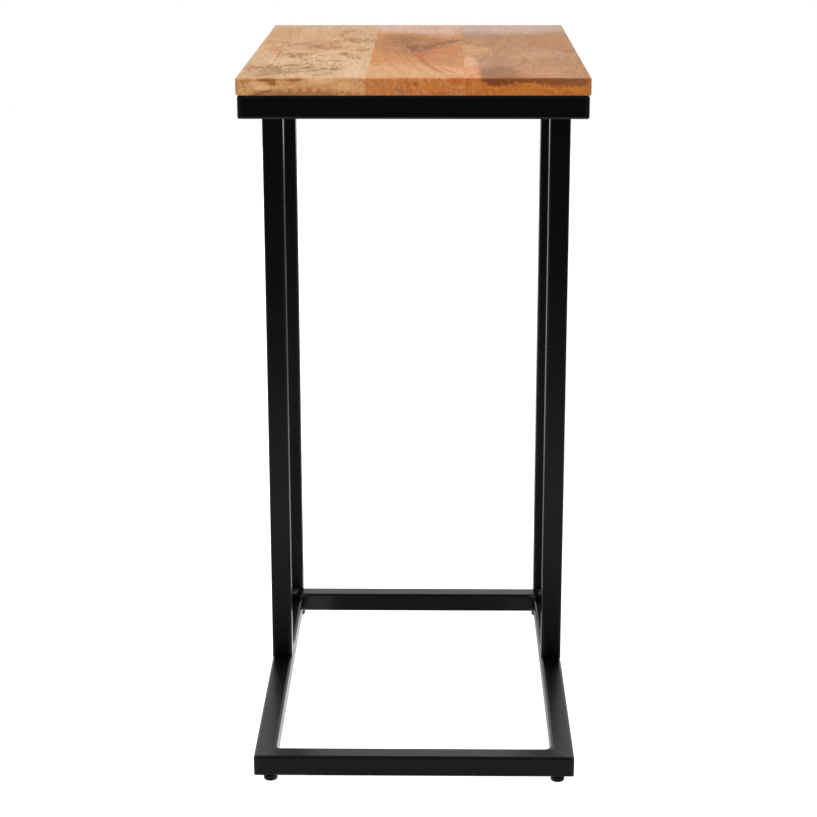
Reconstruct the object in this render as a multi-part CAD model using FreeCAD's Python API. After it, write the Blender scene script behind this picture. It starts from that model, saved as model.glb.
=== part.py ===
import FreeCAD, Part
import math
import os

from FreeCAD import Vector

# C shaped side table. A wooden top of three glued boards lies on a mitred frame
# of square tube. Four posts carry that frame from the rear half of a base frame,
# so that the front of the table is open and slides over a sofa or a chair.
# Sizes are in millimetres. +X is to the right, -Y is the open front of the C and
# +Z is up. The origin is on the floor, under the middle of the wooden top.

# Wooden top
top_width = 300.0            # side to side
top_depth = 450.0            # front to back
table_height = 655.0         # floor to the upper face of the top, glides screwed in
top_thickness = 15.0
left_board_width = 110.0
middle_board_width = 84.0    # the right board takes the rest of the width
top_corner_radius = 2.5      # upright corners of the top
top_edge_radius = 1.6        # eased upper edge of the top
top_edge_cut = 1.0           # small chamfer on its lower edge

# Square steel tube, the same for both frames and for the posts
tube_size = 20.0
tube_wall = 1.5
tube_corner_radius = 2.5     # long edges of the tube

# Top frame and base frame
top_overhang = 1.0           # wood beyond the top frame on each side
base_setback = 10.0          # base frame's front behind the top frame's front
frame_corner_radius = 3.0    # ground-off upright edge at each mitre
corner_weld_leg = 5.0        # fillet weld in each inner corner of a frame

# Posts and their welded end plates
post_setback = 247.0         # top frame's front face to the front posts' front faces
plate_thickness = 5.0
tongue_length = 19.0         # plate beyond the post, towards the other post of its side
plate_corner_cut = 1.5       # corners nipped off, about as far in as the tube's rounded edges
bead_leg = 2.4               # weld bead between post and tongue

# Low head screws that hold the plates, and the nuts welded inside the rails
bolt_setback = 10.0          # screw axis from the post's face
bolt_radius = 3.0
bolt_hole_radius = 3.3
bolt_head_radius = 5.25
bolt_head_height = 3.3
bolt_overrun = 0.5           # screw beyond its nut
socket_across_flats = 4.0
socket_depth = 2.1
nut_across_flats = 10.0
nut_height = 5.0
thread_clearance = 0.06      # radial, screw or stud in its nut

# Levelling glides under the four corners of the base
pad_height = 7.0             # pad between the floor and the base frame
pad_radius = 6.4
glide_inset = 15.0           # glide axis from the outer side face of the base
stud_length = 16.0           # thread above the pad
stud_head_across_flats = 8.0
stud_head_height = 4.0
stud_head_clearance = 0.05   # moulded pocket round the stud's hexagon

# Hexagon head wood screws that hold the top, driven from inside the tubes of its frame
screw_radius = 2.0
screw_head_across_flats = 7.0
screw_head_height = 2.6
screw_bite = 11.0            # length of the screw in the wood
pilot_clearance = 0.05       # radial, screw in its pilot hole
pilot_overrun = 0.5          # pilot hole beyond the screw's end
screw_hole_clearance = 0.5   # radial, screw through the upper wall of the tube
access_hole_radius = 5.0     # driver's way in through the lower wall of the tube
screw_end_distance = 38.0    # foremost screws from the front bar

# Derived places
up = Vector(0, 0, 1)
frame_half = top_width / 2 - top_overhang
frame_front = -top_depth / 2 + top_overhang
frame_back = top_depth / 2 - top_overhang
base_front = frame_front + base_setback
rail_centre = frame_half - tube_size / 2
base_bottom = pad_height
base_top = base_bottom + tube_size
wood_bottom = table_height - top_thickness
frame_bottom = wood_bottom - tube_size
front_post_front = frame_front + post_setback
front_post_back = front_post_front + tube_size
back_post_front = frame_back - tube_size
sides = {"left": -1, "right": 1}


def block(low, high):
    size = high.sub(low)
    return Part.makeBox(size.x, size.y, size.z, low)


def edges_along(shape, axis):
    return [edge for edge in shape.Edges if abs(edge.tangentAt(0).dot(axis)) > 0.99]


def edges_at_height(shape, height):
    edges = [edge for edge in shape.Edges if edge.BoundBox.ZLength < 0.001]
    return [edge for edge in edges if abs(edge.CenterOfMass.z - height) < 0.001]


def rounded_block(low, high, axis, radius):
    # a box with its four edges along the axis rounded
    shape = block(low, high)
    return shape.makeFillet(radius, edges_along(shape, axis))


def lines(points):
    return [Part.makeLine(start, end) for start, end in zip(points, points[1:])]


def prism(edges, height):
    # an upright prism on a closed outline
    return Part.Face(Part.Wire(edges)).extrude(up * height)


def hexagon_prism(across_flats, centre, height):
    reach = across_flats / math.sqrt(3)
    turns = [math.radians(60 * step) for step in range(6)]
    corners = [centre.add(Vector(math.cos(turn), math.sin(turn), 0) * reach) for turn in turns]
    return prism(lines(corners + corners[:1]), height)


def turned(half_section, place):
    # a turned piece, from half of its section in the XZ plane
    shape = Part.Face(Part.Wire(half_section)).revolve(Vector(0, 0, 0), up, 360)
    shape.translate(place)
    return shape


def upright_cylinder(place, radius, height):
    return Part.makeCylinder(radius, height, place, up)


def mirrored_in_height(shape):
    # the same piece at the other end of the posts
    middle = (base_top + frame_bottom) / 2
    return shape.mirror(Vector(0, 0, middle), up)


def tube(low, high, axis):
    outer = rounded_block(low, high, axis, tube_corner_radius)
    inset = Vector(1, 1, 1).sub(axis) * tube_wall
    return outer.cut(block(low.add(inset), high.sub(inset)))


def frame_bars(front, back, bottom):
    # four tubes, mitred at the corners of a rectangle and ground round there
    top = bottom + tube_size
    inner = frame_half - tube_size
    outer_corners = {
        "front_left": Vector(-frame_half, front, bottom),
        "front_right": Vector(frame_half, front, bottom),
        "back_right": Vector(frame_half, back, bottom),
        "back_left": Vector(-frame_half, back, bottom),
    }
    inner_corners = {
        "front_left": Vector(-inner, front + tube_size, bottom),
        "front_right": Vector(inner, front + tube_size, bottom),
        "back_right": Vector(inner, back - tube_size, bottom),
        "back_left": Vector(-inner, back - tube_size, bottom),
    }
    ends = {
        "front_bar": ("front_left", "front_right", Vector(1, 0, 0)),
        "right_rail": ("front_right", "back_right", Vector(0, 1, 0)),
        "back_bar": ("back_right", "back_left", Vector(1, 0, 0)),
        "left_rail": ("back_left", "front_left", Vector(0, 1, 0)),
    }
    outline = rounded_block(
        outer_corners["front_left"], Vector(frame_half, back, top), up, frame_corner_radius
    )
    bars = {}
    for name, (start, end, axis) in ends.items():
        loop = [outer_corners[start], outer_corners[end], inner_corners[end], inner_corners[start]]
        mitred = prism(lines(loop + loop[:1]), tube_size)
        box = mitred.BoundBox
        whole = tube(
            Vector(box.XMin, box.YMin, bottom), Vector(box.XMax, box.YMax, top), axis
        )
        bars[name] = whole.common(mitred).common(outline)
    return bars


def corner_welds(front, back, bottom):
    # a concave fillet weld in each inner corner, on the flats of the two tubes
    inner = frame_half - tube_size
    height = tube_size - 2 * tube_corner_radius
    hollow = corner_weld_leg * (1 - math.sqrt(0.5))
    welds = []
    for side in sides.values():
        for place, inward in ((front + tube_size, 1), (back - tube_size, -1)):
            corner = Vector(side * inner, place, bottom + tube_corner_radius)
            across = Vector(-side, 0, 0)
            along = Vector(0, inward, 0)
            first = corner.add(across * corner_weld_leg)
            last = corner.add(along * corner_weld_leg)
            middle = corner.add((across + along) * hollow)
            edges = [Part.Arc(first, middle, last).toShape()] + lines([last, corner, first])
            welds.append(prism(edges, height))
    return welds


def post_places():
    # X of each post, Y of its front face, and the way to the other post of its side
    places = {}
    for side_name, side in sides.items():
        places["front_" + side_name] = (side * rail_centre, front_post_front, 1)
        places["back_" + side_name] = (side * rail_centre, back_post_front, -1)
    return places


def inner_face(front, toward):
    # Y of the post's face that looks at the other post of its side
    return front + tube_size if toward > 0 else front


def bolt_place(x, front, toward):
    return Vector(x, inner_face(front, toward) + toward * bolt_setback, 0)


def post(x, front):
    low = Vector(x - tube_size / 2, front, base_top + plate_thickness)
    high = Vector(x + tube_size / 2, front + tube_size, frame_bottom - plate_thickness)
    return tube(low, high, up)


def foot_plate(x, front, toward):
    # the plate welded across the post's lower end, with a tongue for the screw
    start = front + (tube_size if toward < 0 else 0)
    end = inner_face(front, toward) + toward * tongue_length
    low = Vector(x - tube_size / 2, min(start, end), base_top)
    high = Vector(x + tube_size / 2, max(start, end), base_top + plate_thickness)
    plate = block(low, high)
    plate = plate.makeChamfer(plate_corner_cut, edges_along(plate, up))
    centre = bolt_place(x, front, toward)
    centre.z = base_top
    return plate.cut(upright_cylinder(centre, bolt_hole_radius, plate_thickness))


def foot_bead(x, front, toward):
    # a weld bead on the tongue, along the flat of the post's face
    half = tube_size / 2 - tube_corner_radius
    corner = Vector(x - half, inner_face(front, toward), base_top + plate_thickness)
    out = corner.add(Vector(0, toward * bead_leg, 0))
    high = corner.add(up * bead_leg)
    bulge = corner.add(Vector(0, toward, 1) * (bead_leg * 0.62))
    edges = [Part.Arc(out, bulge, high).toShape()] + lines([high, corner, out])
    return Part.Face(Part.Wire(edges)).extrude(Vector(2 * half, 0, 0))


def socket_screw(place, length):
    # low round head with a hexagon socket, shank downwards from the place
    half_section = lines([
        Vector(0, 0, bolt_head_height),
        Vector(0, 0, -length),
        Vector(bolt_radius, 0, -length),
        Vector(bolt_radius, 0, 0),
        Vector(bolt_head_radius, 0, 0),
        Vector(bolt_head_radius, 0, bolt_head_height),
        Vector(0, 0, bolt_head_height),
    ])
    screw = turned(half_section, place)
    socket_floor = place.add(up * (bolt_head_height - socket_depth))
    return screw.cut(hexagon_prism(socket_across_flats, socket_floor, socket_depth))


def weld_nut(place):
    nut = hexagon_prism(nut_across_flats, place, nut_height)
    return nut.cut(upright_cylinder(place, bolt_radius + thread_clearance, nut_height))


def glide_pad(place):
    # a round foot with a pocket for the stud's hexagon
    pocket_floor = place.add(up * (pad_height - stud_head_height))
    pocket = stud_head_across_flats + 2 * stud_head_clearance
    pocket_cut = hexagon_prism(pocket, pocket_floor, stud_head_height)
    return upright_cylinder(place, pad_radius, pad_height).cut(pocket_cut)


def glide_stud(place):
    # hexagon moulded into the pad, flush with its top, and a plain thread above it
    head_floor = place.add(up * (pad_height - stud_head_height))
    head = hexagon_prism(stud_head_across_flats, head_floor, stud_head_height)
    return head.fuse(upright_cylinder(place.add(up * pad_height), bolt_radius, stud_length))


def wood_screw(place):
    # head under the tube's upper wall, shank upwards into the wood
    head_floor = place.sub(up * screw_head_height)
    head = hexagon_prism(screw_head_across_flats, head_floor, screw_head_height)
    return head.fuse(upright_cylinder(place, screw_radius, tube_wall + screw_bite))


def screw_places():
    # two wood screws in each side rail, clear of the head plates
    rows = (
        frame_front + tube_size + screw_end_distance,
        (front_post_back + back_post_front) / 2,
    )
    return {
        name + "_rail": [(side * rail_centre, row) for row in rows]
        for name, side in sides.items()
    }


def top_boards():
    # one panel with eased edges, sawn into its three boards
    low = Vector(-top_width / 2, -top_depth / 2, wood_bottom)
    high = Vector(top_width / 2, top_depth / 2, table_height)
    panel = rounded_block(low, high, up, top_corner_radius)
    panel = panel.makeFillet(top_edge_radius, edges_at_height(panel, table_height))
    panel = panel.makeChamfer(top_edge_cut, edges_at_height(panel, wood_bottom))
    for rows in screw_places().values():
        for x, y in rows:
            start = Vector(x, y, wood_bottom)
            depth = screw_bite + pilot_overrun
            panel = panel.cut(upright_cylinder(start, screw_radius + pilot_clearance, depth))
    seams = [
        low.x,
        low.x + left_board_width,
        low.x + left_board_width + middle_board_width,
        high.x,
    ]
    boards = {}
    for name, start, end in zip(("left", "middle", "right"), seams, seams[1:]):
        cut = block(Vector(start, low.y, low.z), Vector(end, high.y, high.z))
        boards["top_board_" + name] = panel.common(cut)
    return boards


def top_frame():
    bars = frame_bars(frame_front, frame_back, frame_bottom)
    for name, rows in screw_places().items():
        for x, y in rows:
            low = Vector(x, y, frame_bottom)
            high = Vector(x, y, wood_bottom - tube_wall)
            shank_hole = screw_radius + screw_hole_clearance
            bars[name] = bars[name].cut(upright_cylinder(low, access_hole_radius, tube_wall))
            bars[name] = bars[name].cut(upright_cylinder(high, shank_hole, tube_wall))
    for x, front, toward in post_places().values():
        name = "left_rail" if x < 0 else "right_rail"
        place = bolt_place(x, front, toward)
        place.z = frame_bottom
        bars[name] = bars[name].cut(upright_cylinder(place, bolt_hole_radius, tube_wall))
    return {"top_" + name: bar for name, bar in bars.items()}


def glide_places():
    places = {}
    for name, side in sides.items():
        x = side * (frame_half - glide_inset)
        places["front_" + name] = Vector(x, base_front + tube_size / 2, 0)
        places["back_" + name] = Vector(x, frame_back - tube_size / 2, 0)
    return places


def base_frame():
    bars = frame_bars(base_front, frame_back, base_bottom)
    for x, front, toward in post_places().values():
        name = "left_rail" if x < 0 else "right_rail"
        place = bolt_place(x, front, toward)
        place.z = base_top - tube_wall
        bars[name] = bars[name].cut(upright_cylinder(place, bolt_hole_radius, tube_wall))
    for corner, place in glide_places().items():
        name = corner.split("_")[0] + "_bar"
        start = place.add(up * base_bottom)
        bars[name] = bars[name].cut(upright_cylinder(start, bolt_hole_radius, tube_wall))
    return {"base_" + name: bar for name, bar in bars.items()}


def make_nodes():
    nodes = top_boards()
    nodes.update(top_frame())
    nodes.update(base_frame())
    nodes["top_corner_welds"] = corner_welds(frame_front, frame_back, frame_bottom)
    nodes["base_corner_welds"] = corner_welds(base_front, frame_back, base_bottom)

    beads = []
    bolts = []
    nuts = []
    bolt_length = plate_thickness + tube_wall + nut_height + bolt_overrun
    for name, (x, front, toward) in post_places().items():
        plate = foot_plate(x, front, toward)
        nodes["post_" + name] = post(x, front)
        nodes["foot_plate_" + name] = plate
        nodes["head_plate_" + name] = mirrored_in_height(plate)
        place = bolt_place(x, front, toward)
        beads.append(foot_bead(x, front, toward))
        bolts.append(socket_screw(place.add(up * (base_top + plate_thickness)), bolt_length))
        nuts.append(weld_nut(place.add(up * (base_top - tube_wall - nut_height))))
    nodes["foot_plate_beads"] = beads
    nodes["base_bolts"] = bolts
    nodes["base_rail_nuts"] = nuts
    nodes["head_plate_beads"] = [mirrored_in_height(bead) for bead in beads]
    nodes["top_bolts"] = [mirrored_in_height(bolt) for bolt in bolts]
    nodes["top_rail_nuts"] = [mirrored_in_height(nut) for nut in nuts]

    glide_nuts = []
    for name, place in glide_places().items():
        nodes["glide_pad_" + name] = glide_pad(place)
        nodes["glide_stud_" + name] = glide_stud(place)
        glide_nuts.append(weld_nut(place.add(up * (base_bottom + tube_wall))))
    nodes["glide_nuts"] = glide_nuts

    seat = Vector(0, 0, wood_bottom - tube_wall)
    rows = [row for places in screw_places().values() for row in places]
    nodes["wood_screws"] = [wood_screw(Vector(x, y, 0).add(seat)) for x, y in rows]
    return nodes


os.makedirs("parts", exist_ok=True)
for node, shape in make_nodes().items():
    if isinstance(shape, list):
        shape = Part.makeCompound(shape)
    if len(shape.Solids) == 1:
        shape = shape.Solids[0]
    shape.exportStep("parts/" + node + ".step")
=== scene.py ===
import bpy
import bmesh
import math
import random
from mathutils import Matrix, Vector


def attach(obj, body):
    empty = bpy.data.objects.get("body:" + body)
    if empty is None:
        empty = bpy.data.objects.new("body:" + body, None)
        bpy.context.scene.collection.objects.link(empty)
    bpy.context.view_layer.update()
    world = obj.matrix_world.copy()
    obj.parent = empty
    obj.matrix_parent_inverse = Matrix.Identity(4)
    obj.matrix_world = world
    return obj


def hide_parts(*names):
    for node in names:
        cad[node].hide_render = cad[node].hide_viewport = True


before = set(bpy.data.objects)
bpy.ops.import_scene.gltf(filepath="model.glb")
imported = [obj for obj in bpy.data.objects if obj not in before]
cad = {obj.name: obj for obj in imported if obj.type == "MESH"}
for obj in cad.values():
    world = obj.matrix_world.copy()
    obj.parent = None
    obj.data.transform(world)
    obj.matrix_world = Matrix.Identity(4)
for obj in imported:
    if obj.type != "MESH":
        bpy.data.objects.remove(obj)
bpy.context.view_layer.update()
scene = bpy.context.scene
mm = 0.001


# helpers for node trees
def colour(red, green, blue):
    # screen values 0-255 to the linear colour that a socket wants
    flat = [value / 255 for value in (red, green, blue)]
    return tuple(v / 12.92 if v <= 0.04045 else ((v + 0.055) / 1.055) ** 2.4 for v in flat) + (1.0,)


def feed(tree, socket, value):
    if isinstance(value, bpy.types.NodeSocket):
        tree.links.new(value, socket)
    elif value is not None:
        socket.default_value = value


def addNode(tree, kind, inputs=(), **settings):
    made = tree.nodes.new("ShaderNode" + kind)
    for name, value in settings.items():
        setattr(made, name, value)
    for key, value in inputs.items() if isinstance(inputs, dict) else enumerate(inputs):
        feed(tree, made.inputs[key], value)
    return made


def calc(tree, operation, *values):
    return addNode(tree, "Math", values, operation=operation).outputs[0]


def vectorCalc(tree, operation, *values):
    return addNode(tree, "VectorMath", values, operation=operation).outputs[0]


def split(tree, vector):
    return addNode(tree, "SeparateXYZ", (vector,)).outputs


def join(tree, x, y, z):
    return addNode(tree, "CombineXYZ", (x, y, z)).outputs[0]


def times(tree, first, second):
    return calc(tree, "MULTIPLY", first, second)


def minus(tree, first, second):
    return calc(tree, "SUBTRACT", first, second)


def spread(tree, value, low, high, toLow=0.0, toHigh=1.0):
    # smooth step from low to high
    return addNode(tree, "MapRange", (value, low, high, toLow, toHigh),
                   interpolation_type="SMOOTHSTEP", clamp=False).outputs[0]


def weigh(tree, start, *pairs):
    # start plus each value's distance from a half, times its weight
    total = start
    for value, weight in pairs:
        total = calc(tree, "MULTIPLY_ADD", minus(tree, value, 0.5), weight, total)
    return total


def mixColours(tree, amount, under, over, how="MIX"):
    made = addNode(tree, "Mix", {0: amount, 6: under, 7: over}, data_type="RGBA", blend_type=how)
    made.clamp_factor = True
    return made.outputs[2]


def noise(tree, vector, scale=1.0, detail=2.0, roughness=0.5):
    if isinstance(scale, tuple):
        vector, scale = vectorCalc(tree, "MULTIPLY", vector, scale), 1.0
    return addNode(tree, "TexNoise", {
        "Vector": vector, "Scale": scale, "Detail": detail, "Roughness": roughness}).outputs["Fac"]


def seeded(tree, vector, seed):
    # each material starts its noises somewhere else
    return vectorCalc(tree, "ADD", vector, join(tree, seed, seed, seed))


def newGroup(name, inputs, outputs, kind="Float"):
    # inputs are numbers by name, and None stands for a vector
    group = bpy.data.node_groups.new(name, "ShaderNodeTree")
    for label, value in inputs.items():
        taken = "NodeSocketVector" if value is None else "NodeSocketFloat"
        socket = group.interface.new_socket(name=label, in_out="INPUT", socket_type=taken)
        if value is not None:
            socket.default_value = value
    for label in outputs:
        group.interface.new_socket(name=label, in_out="OUTPUT", socket_type="NodeSocket" + kind)
    return group, group.nodes.new("NodeGroupInput").outputs, group.nodes.new("NodeGroupOutput").inputs


def useGroup(tree, group, inputs):
    made = tree.nodes.new("ShaderNodeGroup")
    made.node_tree = group
    for key, value in inputs.items():
        feed(tree, made.inputs[key], value)
    return made.outputs


def newMaterial(name):
    # returns the material, its tree, its Principled BSDF and the object position
    material = bpy.data.materials.new(name)
    material.use_nodes = True
    tree = material.node_tree
    shader = tree.nodes["Principled BSDF"]
    place = tree.nodes.new("ShaderNodeTexCoord").outputs["Object"]
    return material, tree, shader, place


def bump(tree, shader, height, depth, strength):
    made = addNode(tree, "Bump", {"Strength": strength, "Distance": depth, "Height": height})
    tree.links.new(made.outputs[0], shader.inputs["Normal"])


# effects that several materials share
def makeEdgeGroup():
    # 1 on the rounded edges, 0 on flat faces
    group, given, out = newGroup("roundedEdges", {"Start": 0.995, "Full": 0.86}, ["Mask"])
    normal = addNode(group, "NewGeometry").outputs["Normal"]
    parts = split(group, vectorCalc(group, "ABSOLUTE", normal))
    most = calc(group, "MAXIMUM", calc(group, "MAXIMUM", parts[0], parts[1]), parts[2])
    feed(group, out["Mask"], spread(group, most, given["Start"], given["Full"]))
    return group


def makeFlowGroup():
    # bends the position so that the board's grain runs straight in the result:
    # a curved pith line in front of Start Y, grain that fans out behind it, and a slow wander
    group, given, out = newGroup("grainFlow", {
        "Vector": None, "Start X": 0.0, "Start Y": 0.0, "Lean": 0.0, "Curve": 0.0, "Fan": 0.0,
        "Wander": 0.006, "Seed": 0.0}, ["Flow"], "Vector")
    moved = seeded(group, given["Vector"], given["Seed"])
    parts = split(group, given["Vector"])
    behind = minus(group, parts[1], given["Start Y"])
    front = calc(group, "MINIMUM", behind, 0.0)
    line = calc(group, "MULTIPLY_ADD", behind, given["Lean"], given["Start X"])
    line = calc(group, "MULTIPLY_ADD", times(group, front, front), given["Curve"], line)
    fan = calc(group, "MULTIPLY_ADD", spread(group, behind, 0.0, 0.12), given["Fan"], 1.0)
    across = calc(group, "DIVIDE", minus(group, parts[0], line), fan)
    slow = minus(group, noise(group, moved, (10, 6, 14), 2), 0.5)
    quick = minus(group, noise(group, moved, (45, 17, 60), 2), 0.5)
    sway = times(group, calc(group, "MULTIPLY_ADD", quick, 0.22, slow), given["Wander"])
    rise = minus(group, noise(group, moved, (13, 4, 21), 2), 0.5)
    lift = calc(group, "MULTIPLY_ADD", rise, given["Wander"], parts[2])
    feed(group, out["Flow"], join(group, calc(group, "ADD", across, sway), parts[1], lift))
    return group


def makeGrainGroup():
    # uneven growth rings round a pith, streaks, mottle, fibres, pores and slow clouds
    group, given, out = newGroup("boardGrain", {
        "Flow": None, "Pith X": 0.0, "Pith Z": 0.5, "Ring Width": 0.004, "Seed": 0.0},
        ["Rings", "Streaks", "Mottle", "Fibre", "Pores", "Clouds"])
    moved = seeded(group, given["Flow"], given["Seed"])
    parts = split(group, given["Flow"])
    sideways = minus(group, parts[0], given["Pith X"])
    upward = minus(group, parts[2], given["Pith Z"])
    radius = calc(group, "SQRT", calc(group, "MULTIPLY_ADD", sideways, sideways, times(group, upward, upward)))
    turns = calc(group, "DIVIDE", radius, given["Ring Width"])
    uneven = noise(group, join(group, turns, times(group, parts[1], 3.0), given["Seed"]), 1.0, 3.0, 0.6)
    feed(group, out["Rings"], spread(group, uneven, 0.36, 0.64))
    feed(group, out["Streaks"], noise(group, moved, (210, 8, 210), 3.0, 0.6))
    feed(group, out["Mottle"], noise(group, moved, (95, 34, 95), 3.0, 0.6))
    feed(group, out["Fibre"], noise(group, moved, (950, 26, 950), 3.0, 0.6))
    feed(group, out["Pores"], spread(group, noise(group, moved, (1900, 130, 1900), 1.0), 0.60, 0.70))
    feed(group, out["Clouds"], noise(group, moved, (21, 11, 34), 4.0, 0.62))
    return group


def makePatchGroup():
    # soft patch round a centre, its outline torn by a noise that comes in from outside
    group, given, out = newGroup("figurePatch", {
        "Across": 0.0, "Along": 0.0, "Tear": 0.5, "Centre Across": 0.0, "Centre Along": 0.0,
        "Half Width": 0.02, "Half Length": 0.05, "Turn": 0.0, "Torn": 0.6, "Soft": 0.6}, ["Mask"])
    x = minus(group, given["Across"], given["Centre Across"])
    y = minus(group, given["Along"], given["Centre Along"])
    cosine, sine = calc(group, "COSINE", given["Turn"]), calc(group, "SINE", given["Turn"])
    across = minus(group, times(group, x, cosine), times(group, y, sine))
    along = calc(group, "MULTIPLY_ADD", x, sine, times(group, y, cosine))
    across = calc(group, "DIVIDE", across, given["Half Width"])
    along = calc(group, "DIVIDE", along, given["Half Length"])
    reach = calc(group, "SQRT", calc(group, "MULTIPLY_ADD", across, across, times(group, along, along)))
    tear = times(group, minus(group, given["Tear"], 0.5), 2.4)
    inside = calc(group, "MULTIPLY_ADD", tear, given["Torn"], minus(group, 1.0, reach))
    blur = times(group, given["Soft"], 0.5)
    feed(group, out["Mask"], spread(group, inside, times(group, blur, -1.0), blur))
    return group


def makeVeinGroup():
    # thin curved line along the grain, from Start Y towards the front, thinner at both ends
    group, given, out = newGroup("figureVein", {
        "Across": 0.0, "Along": 0.0, "Shake": 0.5, "Broken": 0.5, "Start X": 0.0, "Start Y": 0.0,
        "Length": 0.1, "Lean": 0.0, "Curve": 0.0, "Half Width": 0.002}, ["Mask"])
    run = minus(group, given["Start Y"], given["Along"])
    line = calc(group, "MULTIPLY_ADD", run, given["Lean"], given["Start X"])
    line = calc(group, "MULTIPLY_ADD", times(group, run, run), given["Curve"], line)
    shake = times(group, minus(group, given["Shake"], 0.5), 0.005)
    off = calc(group, "ABSOLUTE", calc(group, "ADD", minus(group, given["Across"], line), shake))
    share = calc(group, "DIVIDE", run, given["Length"])
    taper = times(group, spread(group, share, 0.0, 0.25), spread(group, share, 1.0, 0.7))
    body = spread(group, calc(group, "DIVIDE", off, given["Half Width"]), 1.5, 0.2)
    broken = spread(group, given["Broken"], 0.3, 0.5, 0.35, 1.0)
    feed(group, out["Mask"], times(group, times(group, body, taper), broken))
    return group


def makeSpeckGroup():
    # scattered marks, drawn out along the second axis, more of them where Density is high
    group, given, out = newGroup("specks", {
        "Vector": None, "Across": 300.0, "Along": 90.0, "Density": 0.3, "Seed": 0.0}, ["Mask"])
    size = join(group, given["Across"], given["Along"], given["Across"])
    where = seeded(group, vectorCalc(group, "MULTIPLY", given["Vector"], size), given["Seed"])
    level = minus(group, 0.80, times(group, given["Density"], 0.3))
    marks = spread(group, noise(group, where, 1.0, 2.5, 0.58), level, calc(group, "ADD", level, 0.08))
    feed(group, out["Mask"], marks)
    return group


def makeCoatGroup():
    # powder coat: orange peel, fine spots and a slow change of gloss
    group, given, out = newGroup("powderCoat", {
        "Vector": None, "Peel Size": 0.0011, "Seed": 0.0}, ["Peel", "Spots", "Haze"])
    moved = seeded(group, given["Vector"], given["Seed"])
    scale = calc(group, "DIVIDE", 1.0, given["Peel Size"])
    feed(group, out["Peel"], noise(group, moved, scale, 2.0, 0.5))
    feed(group, out["Spots"], spread(group, noise(group, moved, times(group, scale, 2.6), 1.0), 0.60, 0.72))
    feed(group, out["Haze"], noise(group, moved, 14.0, 4.0, 0.6))
    return group


def makeMitreGroup():
    # thin diagonal line at the four corners of a flat frame, and the ground band along it
    group, given, out = newGroup("mitreLine", {
        "Vector": None, "Half Width": 0.149, "Half Length": 0.224, "Middle Y": 0.0,
        "Line": 0.0005, "Band": 0.005}, ["Line", "Ground"])
    parts = split(group, given["Vector"])
    fromSide = minus(group, given["Half Width"], calc(group, "ABSOLUTE", parts[0]))
    fromMiddle = calc(group, "ABSOLUTE", minus(group, parts[1], given["Middle Y"]))
    fromEnd = minus(group, given["Half Length"], fromMiddle)
    off = minus(group, fromSide, fromEnd)
    wave = minus(group, noise(group, given["Vector"], 160.0, 2.0), 0.5)
    wavy = calc(group, "MULTIPLY_ADD", wave, 0.0016, off)
    corner = spread(group, fromSide, 0.023, 0.020)
    line = spread(group, calc(group, "ABSOLUTE", wavy), given["Line"], times(group, given["Line"], 0.3))
    ground = spread(group, calc(group, "ABSOLUTE", off), given["Band"], times(group, given["Band"], 0.4))
    feed(group, out["Line"], times(group, line, corner))
    feed(group, out["Ground"], times(group, ground, corner))
    return group


roundedEdges = makeEdgeGroup()
grainFlow = makeFlowGroup()
boardGrain = makeGrainGroup()
figurePatch = makePatchGroup()
figureVein = makeVeinGroup()
specks = makeSpeckGroup()
powderCoat = makeCoatGroup()
mitreLine = makeMitreGroup()
print("shared node groups ready")


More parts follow.
